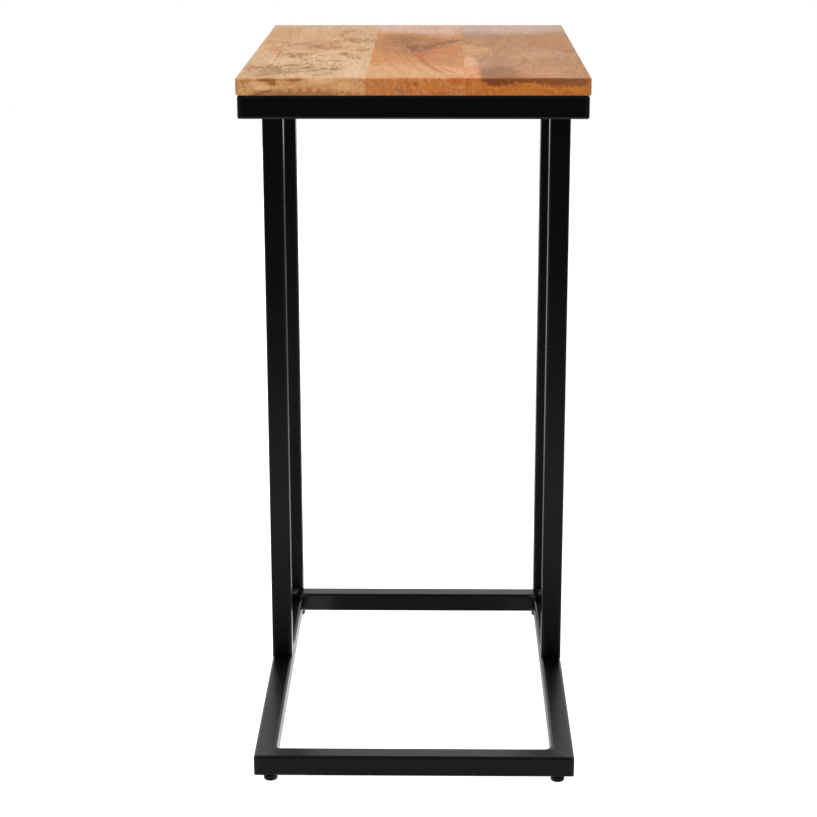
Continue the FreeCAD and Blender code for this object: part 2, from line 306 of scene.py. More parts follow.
# The three boards. Places are mm on the top, seen from above, and on the end x and height.
# A patch is at, half size, turn in degrees, how torn, how soft, tone and amount.
# A vein is start, length, lean, curve, half width, tone and amount.
# Specks are marks of one tone and size, in areas with at, half size and density.
# A glossy area is at, half size, turn, how torn, how soft and amount.
leftBoard = {
    "seed": 3.1, "tones": [(187, 145, 99), (211, 176, 134), (225, 194, 155)],
    "endTones": [(168, 110, 64), (205, 150, 99), (226, 176, 126)],
    "flow": {"Lean": 0.02, "Wander": 0.026},
    "pith": (-60, 560), "ringWidth": 2.4,
    "weights": {"Rings": 0.10, "Streaks": 0.44, "Mottle": 0.36, "Fibre": 0.26, "Clouds": 0.50},
    "patches": [
        ((-84, -95), (50, 34), 0, 0.5, 1, (218, 190, 149), 0.75),
        ((-52, -160), (12, 70), 0, 0.4, 1, (220, 189, 151), 0.75),
        ((-130, -182), (24, 44), 0, 0.9, 1, (194, 154, 112), 0.7),
        ((-100, 120), (40, 60), 0, 0.5, 1, (214, 172, 124), 0.6),
        ((-134, 138), (11.9, 98.3), 0, 0.5, 1, (207, 161, 103), 0.6),
        ((-133, 52), (11.5, 9.9), 0, 0.9, 0.9, (196, 144, 97), 0.7),
        ((-129, 4), (7.1, 31.5), 0, 1.2, 1.1, (200, 134, 73), 0.6),
        ((-90, 28), (22, 48), 0, 0.9, 1, (204, 152, 106), 0.7),
        ((-107, 48), (5.2, 17.5), 30, 1.2, 1.1, (184, 124, 80), 0.55),
        ((-94, 16), (6.3, 15), 25, 1.2, 1.1, (178, 118, 76), 0.6),
        ((-83, -3), (5.3, 11.2), 20, 1.2, 1.1, (180, 122, 84), 0.5),
        ((-75, 15), (3.6, 15), -25, 1.2, 1.1, (182, 120, 76), 0.5),
        ((-126, -50), (0.8, 34.3), 0, 0.6, 0.8, (170, 97, 44), 0.7),
        ((-109, -53), (7.6, 19.5), 0, 1.1, 1, (180, 124, 74), 0.85),
        ((-109, -69), (6.2, 8.5), 0, 1, 1, (160, 118, 84), 0.8),
        ((-68, 163), (6, 10.2), 0, 1.2, 1.1, (187, 124, 63), 0.7),
        ((-75, 129), (2.5, 11.1), 0, 1.2, 1.1, (189, 127, 63), 0.7),
        ((-65, 81), (4.1, 12.8), 0, 1.2, 1.1, (184, 124, 53), 0.7),
        ((-55, 52), (2.4, 8.2), 0, 1.2, 1.1, (187, 111, 40), 0.85),
        ((-83, 104), (2.3, 7.6), 0, 1.2, 1.1, (196, 132, 70), 0.7),
        ((-66, -41), (3.5, 8.5), 0, 1.2, 1.1, (180, 108, 41), 0.8),
        ((-52, -14), (3.9, 13.6), 0, 1.2, 1.1, (191, 124, 53), 0.8),
        ((-45, -5), (2.7, 6.9), 0, 1.2, 1.1, (177, 103, 41), 0.8),
        ((-86, -100), (4.2, 5.4), 0, 1.2, 1.1, (182, 129, 82), 0.8),
        ((-70, -101), (5.9, 7.1), 0, 1.2, 1.1, (189, 121, 49), 0.8),
        ((-69, -102), (1.7, 4.4), 0, 1.2, 1.1, (165, 101, 40), 0.7),
        ((-50, -81), (2.4, 7.2), 0, 1.2, 1.1, (191, 129, 63), 0.7),
        ((-142, -152), (5.4, 11.8), 0, 1.2, 1.1, (180, 132, 84), 0.8),
        ((-127, -140), (5, 12), 0, 1.2, 1, (168, 120, 80), 0.85),
        ((-122, -161), (6.6, 16), 0, 1.2, 1, (172, 128, 90), 0.85),
        ((-130, -186), (8.6, 14.6), 0, 1.2, 1, (180, 136, 94), 0.8),
        ((-110, -182), (7.4, 9.4), 0, 1.2, 1, (172, 130, 94), 0.8),
        ((-107, -131), (7.4, 8), 0, 1.1, 1, (178, 128, 78), 0.85),
        ((-94, -154), (6.6, 9), 0, 1.1, 1, (172, 126, 84), 0.85),
        ((-76, -159), (8.6, 7), 0, 1, 1, (166, 124, 92), 0.9),
        ((-82, -203), (6.4, 6), 0, 1.1, 1, (180, 136, 98), 0.8),
        ((-133, -207), (6.4, 6.4), 0, 1.2, 1.1, (189, 134, 91), 0.7),
        ((-97, -178), (41, 3.4), -40, 0.5, 1, (168, 130, 100), 0.7),
        ((-116, -142), (26, 3.2), -36, 0.5, 1, (168, 124, 90), 0.7),
    ],
    "veins": [
        ((-109, 58), 52, 0.36, 0, 1.2, (176, 108, 66), 0.7),
        ((-97, 26), 34, 0.30, 0, 1.3, (170, 100, 60), 0.7),
        ((-88, 20), 30, 0.10, 0, 0.9, (172, 102, 60), 0.6),
        ((-74, 26), 30, -0.30, 0, 1, (176, 106, 62), 0.65),
        ((-132, 214), 150, 0.05, 0.0004, 1.6, (198, 150, 92), 0.5),
        ((-120, 190), 120, 0.02, 0, 1.2, (200, 152, 96), 0.45),
        ((-100, 210), 130, 0.04, 0, 1.2, (204, 158, 102), 0.4),
        ((-142, 60), 120, 0, 0, 1.2, (198, 150, 96), 0.45),
    ],
    "specks": [
        {"tone": (186, 128, 72), "across": 290, "along": 74, "areas": [
            ((-66, 130), (24, 76), 0.62), ((-54, -6), (13, 84), 0.62), ((-92, 20), (30, 60), 0.42),
            ((-74, -100), (34, 40), 0.50), ((-112, -165), (44, 56), 0.50), ((-124, 180), (30, 44), 0.30),
            ((-120, -60), (26, 40), 0.44), ((-95, 20), (70, 230), 0.22)]},
        {"tone": (184, 132, 82), "across": 110, "along": 52, "areas": [
            ((-108, -168), (44, 40), 0.66), ((-96, 10), (36, 58), 0.44), ((-56, 30), (18, 90), 0.36)]},
        {"tone": (160, 108, 70), "across": 130, "along": 96, "areas": [
            ((-112, -162), (44, 44), 0.82), ((-100, -64), (34, 30), 0.62), ((-96, 14), (32, 34), 0.55)]},
        {"tone": (188, 138, 86), "across": 430, "along": 20, "areas": [
            ((-95, 40), (70, 220), 0.46), ((-130, 60), (20, 170), 0.2)]},
    ],
    "endPatches": [
        ((-151, 647), (3, 7.2), 0, 0.75, 1.3, (158, 98, 54), 0.8),
        ((-141, 652), (3.9, 1.95), 0, 1.1, 1.1, (186, 124, 70), 0.7),
        ((-131, 649), (5.85, 2.93), 8, 0.97, 1.1, (223, 175, 122), 0.8),
        ((-122, 653.3), (8.4, 1.68), 0, 1, 0.86, (146, 88, 46), 0.9),
        ((-119, 650.5), (3.15, 2.1), 0, 0.9, 0.86, (150, 92, 50), 0.9),
        ((-113, 652), (2.4, 1.8), 0, 0.9, 1.3, (212, 150, 90), 0.8),
        ((-101, 653.4), (7.15, 1.69), 0, 1.1, 1.1, (172, 108, 62), 0.9),
        ((-96, 653.8), (2.6, 1.17), 0, 0.83, 1.1, (170, 94, 50), 0.8),
        ((-78, 652.5), (10.4, 2.21), 0, 0.83, 1.1, (226, 178, 128), 0.9),
        ((-134, 645), (6, 1.44), 0, 1.4, 1.3, (206, 158, 108), 0.7),
        ((-127, 642.5), (9, 2.16), 0, 1.2, 1.3, (168, 116, 76), 0.8),
        ((-92, 640.8), (29, 5.8), 0, 0.5, 0.4, (166, 110, 68), 0.9),
        ((-118, 640.2), (17, 3.2), 0, 0.7, 0.6, (166, 112, 72), 0.8),
        ((-108, 645), (2.6, 1.9), 0, 0.9, 0.9, (206, 150, 98), 0.8),
        ((-99.5, 645.4), (2.3, 2.1), 0, 0.9, 0.9, (208, 152, 100), 0.8),
        ((-91.5, 645), (2.6, 1.8), 0, 0.9, 0.9, (206, 150, 98), 0.8),
        ((-83, 645.4), (2.3, 2), 0, 0.9, 0.9, (210, 154, 102), 0.8),
        ((-75, 645.2), (2.5, 1.8), 0, 0.9, 0.9, (212, 156, 104), 0.75),
        ((-129, 642), (12.5, 0.8), -15, 0.45, 0.8, (142, 92, 54), 0.85),
        ((-143.5, 649.5), (0.8, 5.2), -26, 0.6, 0.9, (156, 102, 60), 0.65),
        ((-126, 646.6), (7, 1.5), -6, 0.9, 1, (228, 182, 132), 0.8),
        ((-58, 648), (6.6, 3.6), 0, 0.9, 1.3, (222, 172, 118), 0.85),
        ((-60, 643.4), (1.68, 0.98), 0, 0.9, 0.86, (196, 98, 46), 0.85),
        ((-54, 641.6), (2.24, 1.12), 0, 1, 0.86, (192, 92, 42), 0.85),
        ((-47, 641.2), (2.8, 1.26), 0, 1, 0.86, (202, 110, 58), 0.85),
    ],
    "endRings": 0.12, "roughness": 0.55, "glossy": ((-95, 215), (60, 44), 0, 0.2, 1, 0.13),
}
middleBoard = {
    "seed": 7.7, "tones": [(170, 104, 48), (202, 138, 78), (220, 164, 108)],
    "endTones": [(166, 94, 46), (196, 120, 66), (216, 148, 92)],
    "flow": {"Start X": 0.005, "Start Y": -0.040, "Curve": 0.96, "Fan": 0.9, "Wander": 0.014},
    "pith": (0, 658), "ringWidth": 2,
    "weights": {"Rings": 0.16, "Streaks": 0.36, "Mottle": 0.28, "Fibre": 0.26, "Clouds": 0.34},
    "patches": [
        ((-4, 196), (60, 56), 0, 0.2, 0.8, (208, 164, 130), 0.55),
        ((26, 134), (18, 42), 0, 0.3, 0.7, (214, 172, 134), 0.8),
        ((-37, 12), (6.6, 125.9), 0, 0.4, 1, (205, 142, 75), 0.6),
        ((-22, -81), (19, 50.9), 0, 0.4, 1, (205, 139, 75), 0.8),
        ((-4, -190), (52, 66), 0, 0.35, 1.3, (214, 168, 120), 0.85),
        ((-2, 40), (36.2, 79), 0, 0.5, 0.9, (180, 119, 69), 0.85),
        ((-14, 78), (22, 36), 0, 0.9, 1, (160, 104, 62), 0.55),
        ((2, 8), (14, 26), 0, 1.2, 1, (136, 78, 38), 0.75),
        ((6, -22), (11, 17), 0, 1.2, 1, (144, 78, 36), 0.7),
        ((15, 34), (6.7, 10), 0, 1, 0.8, (156, 100, 53), 0.6),
        ((36, 66), (6, 13), 30, 1, 1, (146, 78, 46), 0.7),
        ((24, 46), (5, 13), 30, 1.1, 1, (156, 90, 52), 0.6),
        ((27, -16), (14, 34), 28, 0.6, 1, (206, 128, 72), 0.75),
        ((5, -54), (5.5, 26), -5, 0.8, 1, (182, 94, 48), 0.75),
        ((17, -36), (6, 16), 38, 0.9, 1, (200, 112, 60), 0.6),
        ((24, -76), (14.4, 32.1), 0, 0.5, 1, (207, 134, 79), 0.6),
        ((28, -104), (7, 24), -10, 0.8, 1, (184, 124, 80), 0.65),
        ((35, -179), (8.3, 25.4), 0, 0.4, 0.9, (223, 170, 126), 0.8),
    ],
    "veins": [
        ((5, -42), 178, -0.02, 1.05, 2.6, (188, 98, 58), 0.72),
        ((0, -30), 110, 0.04, 1, 1.6, (196, 104, 48), 0.55),
        ((12, -76), 140, 0.10, 0.9, 2.2, (198, 114, 62), 0.6),
        ((-22, 8), 140, 0.09, 0.5, 1.6, (190, 120, 58), 0.5),
        ((-31, -30), 170, 0.07, 0.4, 1.4, (192, 124, 62), 0.5),
        ((-12, -30), 160, 0.06, 0.6, 1.4, (192, 122, 60), 0.45),
        ((41, 14), 58, -0.58, 0, 1.7, (204, 120, 68), 0.5),
        ((42, 84), 70, -0.46, 0, 1.6, (150, 84, 50), 0.5),
        ((-30, 100), 70, 0.20, 0, 1.6, (166, 104, 60), 0.5),
        ((-12, 96), 70, 0.16, 0, 1.6, (160, 98, 56), 0.5),
    ],
    "specks": [{"tone": (156, 90, 42), "across": 420, "along": 90, "areas": [
        ((-26, 20), (22, 120), 0.36), ((10, 60), (26, 60), 0.30)]}],
    "endPatches": [
        ((-28, 648), (8, 5), 0, 0.9, 2, (196, 128, 76), 0.6),
        ((35.5, 653.4), (6.2, 3.8), 0, 1.1, 1.2, (190, 92, 46), 0.7),
        ((14, 647), (6.6, 2.75), 0, 0.98, 1.6, (202, 118, 46), 0.7),
        ((1.8, 650), (2.04, 1.44), 0, 0.9, 1.3, (150, 84, 42), 0.9),
        ((-5.5, 650), (1.32, 4.8), -8, 0.9, 1.3, (176, 108, 56), 0.6),
        ((-12, 644.5), (4.68, 1.32), 22, 1.3, 1.6, (160, 112, 80), 0.85),
        ((-30, 650), (1.43, 3.3), -8, 0.98, 1.6, (178, 106, 66), 0.6),
        ((24, 642), (6, 1.32), 0, 1.1, 1.3, (176, 92, 40), 0.6),
    ],
    "endRings": 0.20, "roughness": 0.52, "glossy": ((0, 204), (60, 62), 0, 0.2, 0.8, 0.42),
}
rightBoard = {
    "seed": 12.4, "tones": [(160, 103, 61), (185, 134, 92), (202, 154, 115)],
    "endTones": [(166, 90, 38), (188, 108, 50), (208, 132, 66)],
    "flow": {"Lean": 0.14, "Wander": 0.028},
    "pith": (128, 600), "ringWidth": 3,
    "weights": {"Rings": 0.12, "Streaks": 0.36, "Mottle": 0.28, "Fibre": 0.24, "Clouds": 0.36},
    "patches": [
        ((47, 174), (6.2, 46.5), 0, 0.3, 1, (182, 139, 119), 0.7),
        ((61, 119), (16.1, 23), 0, 0.4, 1, (184, 139, 108), 0.6),
        ((129, 84), (25.9, 68.9), 0, 0.4, 1, (191, 132, 79), 0.7),
        ((58, -22), (17, 40), 0, 0.5, 1, (210, 158, 104), 0.8),
        ((49, 10), (7.6, 22.4), 0, 0.4, 0.9, (212, 156, 97), 0.7),
        ((74, 11), (6, 12), 20, 1, 1, (204, 138, 66), 0.6),
        ((84, 32), (3.9, 4.9), 0, 0.9, 0.9, (203, 142, 75), 0.6),
        ((49, -118), (8, 54), 0, 0.12, 0.5, (222, 168, 124), 0.85),
        ((50, -208), (7.6, 62), 0, 0.14, 0.6, (230, 162, 112), 0.8),
        ((72, -107), (15.3, 35.6), 0, 0.4, 1, (182, 129, 94), 0.7),
        ((74, -194), (16.5, 48), 0, 0.22, 0.5, (152, 100, 66), 1),
        ((83, -205), (17.1, 16.7), 0, 0.4, 1, (170, 111, 65), 0.6),
        ((117, -45), (28, 27.3), 0, 0.5, 1, (203, 156, 119), 0.6),
        ((111, -173), (22.7, 40), 0, 0.5, 1, (198, 142, 105), 0.6),
        ((141, -22), (6, 17), 0, 0.9, 1, (172, 114, 72), 0.6),
        ((134, -187), (5.2, 13.1), 0, 0.7, 1, (177, 119, 79), 0.5),
    ],
    "veins": [
        ((98, 168), 120, -0.10, 0, 1.4, (168, 112, 70), 0.45),
        ((124, 150), 150, -0.12, 0, 1.8, (168, 110, 70), 0.4),
        ((86, 40), 120, -0.13, 0, 1.5, (178, 118, 68), 0.45),
        ((138, 30), 110, -0.22, 0, 1.6, (204, 158, 118), 0.4),
        ((110, -60), 150, -0.06, 0, 1.4, (168, 118, 82), 0.4),
    ],
    "specks": [{"tone": (160, 102, 58), "across": 460, "along": 80, "areas": [((110, 0), (38, 130), 0.34)]}],
    "endPatches": [
        ((52, 648), (4, 4), 0, 0.9, 2, (208, 122, 66), 0.8),
        ((69, 646.8), (8.4, 1.2), 6, 1.1, 1.3, (200, 120, 50), 0.85),
        ((100, 646.5), (15.6, 1.56), 0, 1.2, 1.3, (200, 122, 48), 0.8),
        ((134, 645.5), (12, 1.44), 0, 1.2, 1.3, (200, 122, 52), 0.8),
        ((73, 654.5), (15.7, 6.27), 0, 0.55, 0.42, (124, 68, 38), 0.95),
        ((97, 656), (14.8, 5.28), 0, 0.65, 0.42, (130, 72, 42), 0.95),
        ((119, 655.5), (19.8, 6.76), 0, 0.6, 0.42, (136, 78, 44), 0.95),
        ((137, 654.5), (12, 6.72), 0, 0.56, 0.5, (138, 86, 54), 0.9),
        ((149, 648), (2.4, 5.4), 0, 0.75, 1.3, (168, 116, 76), 0.7),
    ],
    "endRings": 0.18, "roughness": 0.50, "glossy": ((92, 206), (70, 68), 10, 0.25, 1, 0.56),
}


def patchMask(tree, place, tear, at, half, turn=0.0, torn=0.6, soft=0.6):
    across, along = place
    return useGroup(tree, figurePatch, {
        "Across": across, "Along": along, "Tear": tear, "Centre Across": at[0] * mm, "Centre Along": at[1] * mm,
        "Half Width": half[0] * mm, "Half Length": half[1] * mm, "Turn": math.radians(turn),
        "Torn": torn, "Soft": soft})["Mask"]


def layPatches(tree, shade, place, tear, patches, fibre):
    for at, half, turn, torn, soft, tone, amount in patches:
        mask = patchMask(tree, place, tear, at, half, turn, torn, soft)
        streaky = weigh(tree, amount, (fibre, amount * 1.5))   # fibres break the patch up
        shade = mixColours(tree, times(tree, mask, streaky), shade, colour(*tone))
    return shade


def layVeins(tree, shade, place, shake, broken, veins):
    across, along = place
    for start, length, lean, curve, width, tone, amount in veins:
        mask = useGroup(tree, figureVein, {
            "Across": across, "Along": along, "Shake": shake, "Broken": broken,
            "Start X": start[0] * mm, "Start Y": start[1] * mm, "Length": length * mm,
            "Lean": lean, "Curve": curve, "Half Width": width * mm})["Mask"]
        shade = mixColours(tree, times(tree, mask, amount), shade, colour(*tone))
    return shade


def laySpecks(tree, shade, vector, place, tear, kinds, seed):
    for number, kind in enumerate(kinds):
        density = 0.0
        for at, half, amount in kind["areas"]:
            density = calc(tree, "MULTIPLY_ADD", patchMask(tree, place, tear, at, half), amount, density)
        marks = useGroup(tree, specks, {
            "Vector": vector, "Across": kind["across"], "Along": kind["along"], "Density": density,
            "Seed": seed + number * 3.3})["Mask"]
        shade = mixColours(tree, times(tree, marks, sharedBoard["specks"]), shade, colour(*kind["tone"]))
    return shade


def threeTones(tree, value, tones):
    ramp = addNode(tree, "ValToRGB", (value,))
    keys = ramp.color_ramp.elements
    keys[0].position, keys[0].color = 0.20, colour(*tones[0])
    keys[1].position, keys[1].color = 0.80, colour(*tones[2])
    middle = keys.new(0.50)
    middle.color = colour(*tones[1])
    return ramp.outputs[0]


# what the three boards share, with the grain's depth in mm
sharedBoard = {
    "specks": 0.8, "veil": 0.22, "veilTones": [(70, 60, 52), (128, 128, 128), (188, 190, 190)],
    "pores": 0.30, "poreTone": (112, 72, 46), "endPoreTone": (112, 64, 36), "paleEdge": 0.10,
    "specular": 0.04, "backRoughness": 0.25, "grainDepth": 0.10, "grainStrength": 0.5,
}


def boardMaterial(name, look):
    material, tree, shader, place = newMaterial(name)
    flow = useGroup(tree, grainFlow, {"Vector": place, "Seed": look["seed"], **look["flow"]})["Flow"]
    grain = useGroup(tree, boardGrain, {
        "Flow": flow, "Pith X": look["pith"][0] * mm, "Pith Z": look["pith"][1] * mm,
        "Ring Width": look["ringWidth"] * mm, "Seed": look["seed"]})
    parts = split(tree, place)
    onEnd = join(tree, parts[0], parts[2], 0.0)
    # long grain on the top, bottom and sides
    tone = weigh(tree, 0.5, *[(grain[key], weight) for key, weight in look["weights"].items()])
    flat = threeTones(tree, tone, look["tones"])
    onTop = (parts[0], parts[1])
    coarse, fine = noise(tree, place, (62, 22, 62), 3, 0.6), noise(tree, place, (430, 46, 430), 3, 0.62)
    tear = weigh(tree, coarse, (fine, 1.4))
    streaked = weigh(tree, grain["Streaks"], (grain["Fibre"], 1.3))
    flat = layPatches(tree, flat, onTop, tear, look["patches"], streaked)
    shake = noise(tree, place, (60, 45, 60), 3)
    flat = layVeins(tree, flat, onTop, shake, grain["Fibre"], look["veins"])
    flat = laySpecks(tree, flat, place, onTop, tear, look["specks"], look["seed"])
    # the fine grain shows through the figure too
    veil = weigh(tree, 0.5, (grain["Fibre"], 0.9), (grain["Mottle"], 0.8))
    flat = mixColours(tree, sharedBoard["veil"], flat, threeTones(tree, veil, sharedBoard["veilTones"]), "OVERLAY")
    pores = times(tree, grain["Pores"], sharedBoard["pores"])
    flat = mixColours(tree, pores, flat, colour(*sharedBoard["poreTone"]), "MULTIPLY")
    # end grain on the front and back
    mottle = noise(tree, onEnd, 330.0, 4.0, 0.62)
    endTone = weigh(tree, 0.5, (grain["Rings"], look["endRings"]), (mottle, 0.9), (grain["Clouds"], 0.5))
    end = threeTones(tree, endTone, look["endTones"])
    endTear = noise(tree, onEnd, (260, 330, 1), 4, 0.62)
    end = layPatches(tree, end, (parts[0], parts[2]), endTear, look["endPatches"], mottle)
    end = mixColours(tree, pores, end, colour(*sharedBoard["endPoreTone"]), "MULTIPLY")
    normal = addNode(tree, "NewGeometry").outputs["Normal"]
    facing = split(tree, vectorCalc(tree, "ABSOLUTE", normal))[1]
    shade = mixColours(tree, spread(tree, facing, 0.04, 0.30), flat, end)
    # sanded edges are paler
    edge = times(tree, useGroup(tree, roundedEdges, {})["Mask"], sharedBoard["paleEdge"])
    shade = mixColours(tree, edge, shade, colour(*look["tones"][2]))
    feed(tree, shader.inputs["Base Color"], shade)
    # matt lacquer, drier over pores and end grain
    gloss = weigh(tree, look["roughness"], (grain["Clouds"], 0.16))
    gloss = calc(tree, "MULTIPLY_ADD", grain["Pores"], 0.14, calc(tree, "MULTIPLY_ADD", facing, 0.12, gloss))
    feed(tree, shader.inputs["Roughness"], gloss)
    shader.inputs["Specular IOR Level"].default_value = sharedBoard["specular"]
    # smoother lacquer towards the back takes on the light there
    at, half, turn, torn, soft, amount = look["glossy"]
    smooth = times(tree, patchMask(tree, onTop, tear, at, half, turn, torn, soft), amount)
    feed(tree, shader.inputs["Coat Weight"], smooth)
    shader.inputs["Coat Roughness"].default_value = sharedBoard["backRoughness"]
    relief = weigh(tree, 0.5, (grain["Fibre"], 1.0), (grain["Streaks"], 0.5), (grain["Pores"], -0.8))
    bump(tree, shader, relief, sharedBoard["grainDepth"] * mm, sharedBoard["grainStrength"])
    return material


def paint(names, material):
    for name in names:
        node = cad[name]
        if not node.material_slots:
            node.data.materials.append(material)
        for holder in node.material_slots:
            holder.material = material


paint(["top_board_left"], boardMaterial("paleSpaltedBoard", leftBoard))
paint(["top_board_middle"], boardMaterial("amberBoard", middleBoard))
paint(["top_board_right"], boardMaterial("brownBoard", rightBoard))
print("boards done")


# black powder coat on the tubes
coatLook = {
    "black": (5, 4, 4), "thin": (17, 15, 15), "thinSpots": 0.18, "thinEdges": 0.35,
    "roughness": 0.29, "specular": 0.21, "peel": 1.1, "peelDepth": 0.06, "peelStrength": 0.5,
    "dust": (60, 59, 56), "dustAmount": 0.05, "mitre": 0.5, "mitreTone": (2, 2, 2), "mitreWidth": 0.55,
    "ground": 0.12, "groundTone": (54, 52, 52),
}


def coatMaterial(name, seed, frameSize=None):
    material, tree, shader, place = newMaterial(name)
    coat = useGroup(tree, powderCoat, {"Vector": place, "Peel Size": coatLook["peel"] * mm, "Seed": seed})
    edge = useGroup(tree, roundedEdges, {"Full": 0.78})["Mask"]
    black, thin = colour(*coatLook["black"]), colour(*coatLook["thin"])
    shade = mixColours(tree, times(tree, coat["Spots"], coatLook["thinSpots"]), black, thin)
    shade = mixColours(tree, times(tree, edge, coatLook["thinEdges"]), shade, thin)
    # a little dust on what faces up
    upward = split(tree, addNode(tree, "NewGeometry").outputs["Normal"])[2]
    dusty = times(tree, spread(tree, upward, 0.6, 1.0), spread(tree, coat["Haze"], 0.45, 0.75))
    shade = mixColours(tree, times(tree, dusty, coatLook["dustAmount"]), shade, colour(*coatLook["dust"]))
    relief = calc(tree, "MULTIPLY_ADD", coat["Spots"], 0.25, coat["Peel"])
    if frameSize:
        halfWidth, halfLength, middle = frameSize
        line = useGroup(tree, mitreLine, {
            "Vector": place, "Half Width": halfWidth * mm, "Half Length": halfLength * mm,
            "Middle Y": middle * mm, "Line": coatLook["mitreWidth"] * mm})
        ground = times(tree, line["Ground"], coatLook["ground"])
        shade = mixColours(tree, ground, shade, colour(*coatLook["groundTone"]))
        mitre = times(tree, line["Line"], coatLook["mitre"])
        shade = mixColours(tree, mitre, shade, colour(*coatLook["mitreTone"]))
        relief = calc(tree, "MULTIPLY_ADD", line["Line"], -1.6, relief)
    feed(tree, shader.inputs["Base Color"], shade)
    gloss = calc(tree, "MULTIPLY_ADD", coat["Haze"], 0.14, coatLook["roughness"] - 0.07)
    feed(tree, shader.inputs["Roughness"], calc(tree, "MULTIPLY_ADD", edge, -0.06, gloss))
    shader.inputs["Specular IOR Level"].default_value = coatLook["specular"]
    bump(tree, shader, relief, coatLook["peelDepth"] * mm, coatLook["peelStrength"])
    return material


# half width, half length and middle of each frame in mm, for its mitre lines
topFrameCoat = coatMaterial("blackCoatTopFrame", 1.3, (149, 224, 0))
baseFrameCoat = coatMaterial("blackCoatBaseFrame", 4.9, (149, 219, 5))
postCoat = coatMaterial("blackCoatPosts", 8.2)
bars = ["front_bar", "back_bar", "left_rail", "right_rail"]
paint(["top_" + bar for bar in bars], topFrameCoat)
paint(["base_" + bar for bar in bars], baseFrameCoat)
corners = ["front_left", "front_right", "back_left", "back_right"]
paint(["post_" + corner for corner in corners], postCoat)
paint([end + "_plate_" + corner for end in ("foot", "head") for corner in corners], postCoat)
print("frame coat done")


# metal and plastic small parts, with the relief's depth in mm
zincLook = {"bright": (200, 202, 205), "dull": (150, 152, 158), "roughness": 0.30, "depth": 0.03}
screwLook = {"black": (30, 30, 31), "worn": (74, 73, 72), "roughness": 0.36, "metallic": 0.35, "depth": 0.03}
plasticLook = {"black": (5, 5, 5), "scuffed": (26, 25, 25), "roughness": 0.45, "specular": 0.2, "depth": 0.05}


def zincMaterial():
    material, tree, shader, place = newMaterial("zincPlate")
    spangle = noise(tree, place, 380.0, 3.0, 0.6)
    streak = noise(tree, place, (2400.0, 2400.0, 260.0), 2.0)
    dull, bright = colour(*zincLook["dull"]), colour(*zincLook["bright"])
    feed(tree, shader.inputs["Base Color"], mixColours(tree, spread(tree, spangle, 0.35, 0.7), dull, bright))
    shader.inputs["Metallic"].default_value = 1.0
    feed(tree, shader.inputs["Roughness"], calc(tree, "MULTIPLY_ADD", spangle, 0.24, zincLook["roughness"] - 0.10))
    bump(tree, shader, streak, zincLook["depth"] * mm, 0.4)
    return material


def screwMaterial():
    material, tree, shader, place = newMaterial("blackOxideScrew")
    grainy = noise(tree, place, 1500.0, 2.0)
    edge = useGroup(tree, roundedEdges, {"Start": 0.97, "Full": 0.75})["Mask"]
    worn = times(tree, edge, spread(tree, grainy, 0.4, 0.65))
    shade = mixColours(tree, times(tree, worn, 0.5), colour(*screwLook["black"]), colour(*screwLook["worn"]))
    feed(tree, shader.inputs["Base Color"], shade)
    feed(tree, shader.inputs["Roughness"], calc(tree, "MULTIPLY_ADD", grainy, 0.2, screwLook["roughness"] - 0.1))
    shader.inputs["Metallic"].default_value = screwLook["metallic"]
    bump(tree, shader, grainy, screwLook["depth"] * mm, 0.4)
    return material


def plasticMaterial():
    material, tree, shader, place = newMaterial("blackGlidePlastic")
    spark = noise(tree, place, 1900.0, 2.0)
    low = spread(tree, split(tree, place)[2], 0.0016, 0.0002)
    scuffs = times(tree, times(tree, low, spread(tree, noise(tree, place, 700.0, 3.0), 0.45, 0.65)), 0.6)
    shade = mixColours(tree, scuffs, colour(*plasticLook["black"]), colour(*plasticLook["scuffed"]))
    feed(tree, shader.inputs["Base Color"], shade)
    feed(tree, shader.inputs["Roughness"], calc(tree, "MULTIPLY_ADD", spark, 0.2, plasticLook["roughness"] - 0.1))
    shader.inputs["Specular IOR Level"].default_value = plasticLook["specular"]
    bump(tree, shader, spark, plasticLook["depth"] * mm, 0.5)
    return material


zinc = zincMaterial()
blackOxide = screwMaterial()
glidePlastic = plasticMaterial()
paint(["base_rail_nuts", "top_rail_nuts", "glide_nuts", "wood_screws"], zinc)
paint(["glide_stud_" + corner for corner in corners], zinc)
print("small parts done")


# pieces that the frame carries: welds, domed screws and rounded feet
def addPiece(name, bm, material, body, slot, *stood):
    bmesh.ops.remove_doubles(bm, verts=bm.verts, dist=0.000001)
    bmesh.ops.recalc_face_normals(bm, faces=bm.faces)
    for face in bm.faces:
        face.smooth = True
    mesh = bpy.data.meshes.new(name)
    bm.to_mesh(mesh)
    bm.free()
    mesh.set_sharp_from_angle(angle=math.radians(38))
    mesh.materials.append(material)
    piece = bpy.data.objects.new(name, mesh)
    scene.collection.objects.link(piece)
    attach(piece, body)
    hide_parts(*stood)


def joinLoops(bm, loops):
    # skins and caps a row of loops that have the same number of points, in mm
    rows = [[bm.verts.new(Vector(point) * mm) for point in loop] for loop in loops]
    for low, high in zip(rows, rows[1:]):
        for i in range(len(low)):
            j = (i + 1) % len(low)
            bm.faces.new((low[i], low[j], high[j], high[i]))
    bm.faces.new(rows[0][::-1])
    bm.faces.new(rows[-1])


def hexRadius(acrossFlats, angle):
    return acrossFlats / 2 / math.cos((angle + math.pi / 6) % (math.pi / 3) - math.pi / 6)


